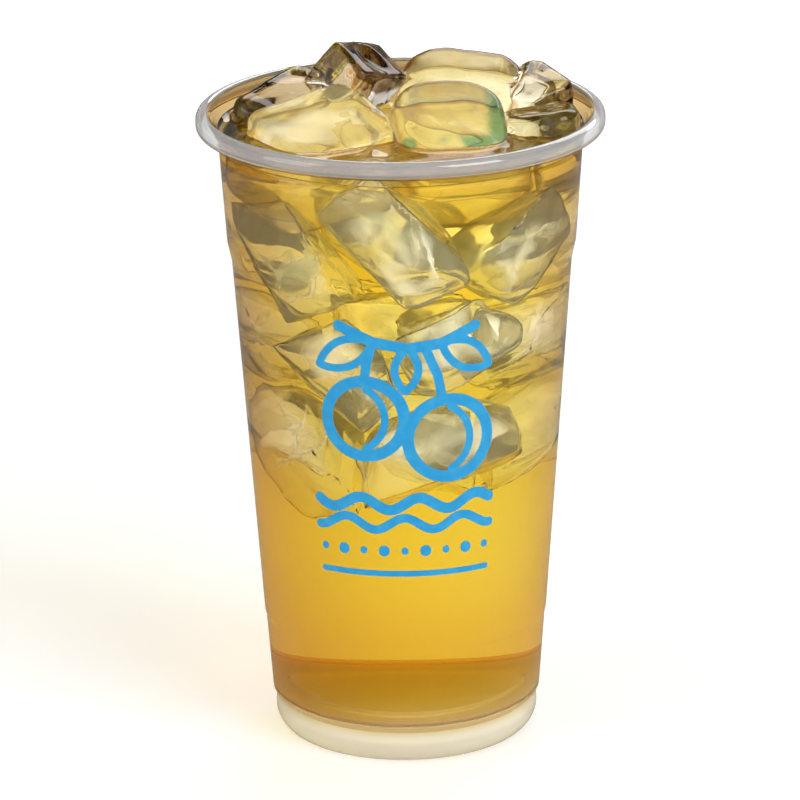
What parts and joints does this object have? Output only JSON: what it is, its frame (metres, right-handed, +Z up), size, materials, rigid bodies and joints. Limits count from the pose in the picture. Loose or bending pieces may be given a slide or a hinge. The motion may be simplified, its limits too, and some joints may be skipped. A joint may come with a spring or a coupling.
{
  "type": "plum green tea in a clear cup",
  "caption": "Iced plum green tea filled to the rim of a tall clear plastic takeaway cup, with melted ice cubes breaking the surface.",
  "frame": {"origin": "centre of the cup's foot ring, on the surface it stands on", "axes": "+Z up along the cup's axis, -Y towards the front of the drink, +X to its right"},
  "size_m": [0.095, 0.095, 0.1647],
  "materials": {
    "clear_plastic": "clear, glossy",
    "tea": "clear golden liquid",
    "ice": "wet, clear with a cloudy core"
  },
  "bodies": {
    "root": {"cup": "clear_plastic", "tea": "tea", "ice_proud": "ice", "ice_front": "ice", "ice_back": "ice", "ice_left": "ice", "ice_rear": "ice", "ice_side": "ice", "ice_right": "ice"}
  },
  "joints": []
}
